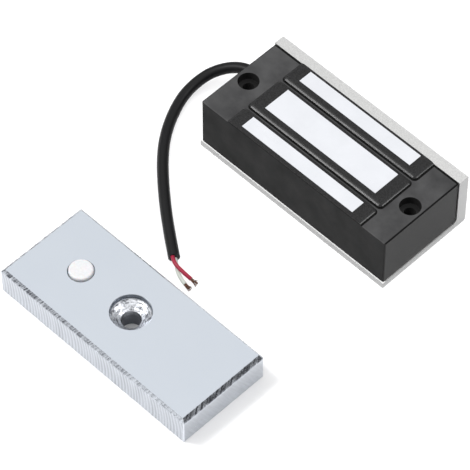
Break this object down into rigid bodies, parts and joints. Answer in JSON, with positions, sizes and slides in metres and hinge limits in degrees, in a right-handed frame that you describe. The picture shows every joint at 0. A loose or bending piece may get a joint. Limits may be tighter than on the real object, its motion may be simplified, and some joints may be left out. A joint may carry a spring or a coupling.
{
  "type": "magnetic door lock",
  "caption": "Surface-mounted electromagnetic door lock: black potted magnet with flush pole faces on an aluminium angle, and a plated armature plate with a sprung release button.",
  "frame": {"origin": "centre of the magnet's flat mounting face, on the underside of its aluminium angle", "axes": "+X along the magnet away from the cable, +Y towards the angle's tall wall, +Z out of the pole faces; the armature plate lies beside the magnet at -Y"},
  "size_m": [0.0989, 0.121, 0.0229],
  "materials": {
    "aluminium": "satin mill finish",
    "black_plastic": "fine moulded texture",
    "resin": "smooth cast resin",
    "core_iron": "machined",
    "pole_nickel": "ground and nickel plated",
    "screw_zinc": "zinc plated",
    "bobbin_nylon": "natural nylon",
    "enamelled_copper": "enamelled wire",
    "coil_tape": "polyester tape",
    "brass_pin": "tinned",
    "sleeve": "shrunk sleeve",
    "diode_black": "moulded",
    "red_pvc": "semi-gloss",
    "white_pvc": "semi-gloss",
    "black_rubber": "matt",
    "cable_black": "satin PVC",
    "bare_copper": "bare strands",
    "plated_steel": "bright zinc or nickel plate over a sawn bar",
    "white_nylon": "smooth",
    "spring_steel": "drawn wire",
    "plug_steel": "turned"
  },
  "bodies": {
    "magnet": {"angle_bracket": "aluminium", "housing_shell": "black_plastic", "potting_fill": "resin", "yoke_plate": "core_iron", "middle_pole": "pole_nickel", "free_side_pole": "pole_nickel", "wall_side_pole": "pole_nickel", "core_screws": "screw_zinc", "pole_screws": "screw_zinc", "coil_bobbin": "bobbin_nylon", "coil_winding": "enamelled_copper", "coil_tape": "coil_tape", "coil_pins": "brass_pin", "joint_sleeves": "sleeve", "suppressor_diode": "diode_black", "inner_lead_red": "red_pvc", "inner_lead_white": "white_pvc", "cable_grommet": "black_rubber", "cable_tail": "cable_black", "cable_jacket": "cable_black", "core_wire_red": "red_pvc", "core_wire_white": "white_pvc", "strands_red": "bare_copper", "strands_white": "bare_copper"},
    "armature": {"armature_plate": "plated_steel", "plunger_plug": "plug_steel", "plunger_spring": "spring_steel"},
    "plunger": {"release_plunger": "white_nylon"}
  },
  "joints": [
    {"name": "armature_lift", "type": "slide", "parent": "magnet", "child": "armature", "axis": [0, 0, 1], "range_m": [0, 0.05]},
    {"name": "plunger_press", "type": "slide", "parent": "armature", "child": "plunger", "axis": [0, 0, -1], "range_m": [0, 0.001], "stiffness_N_per_m": 900, "springref_m": -0.0012, "deforming": ["plunger_spring"]}
  ]
}
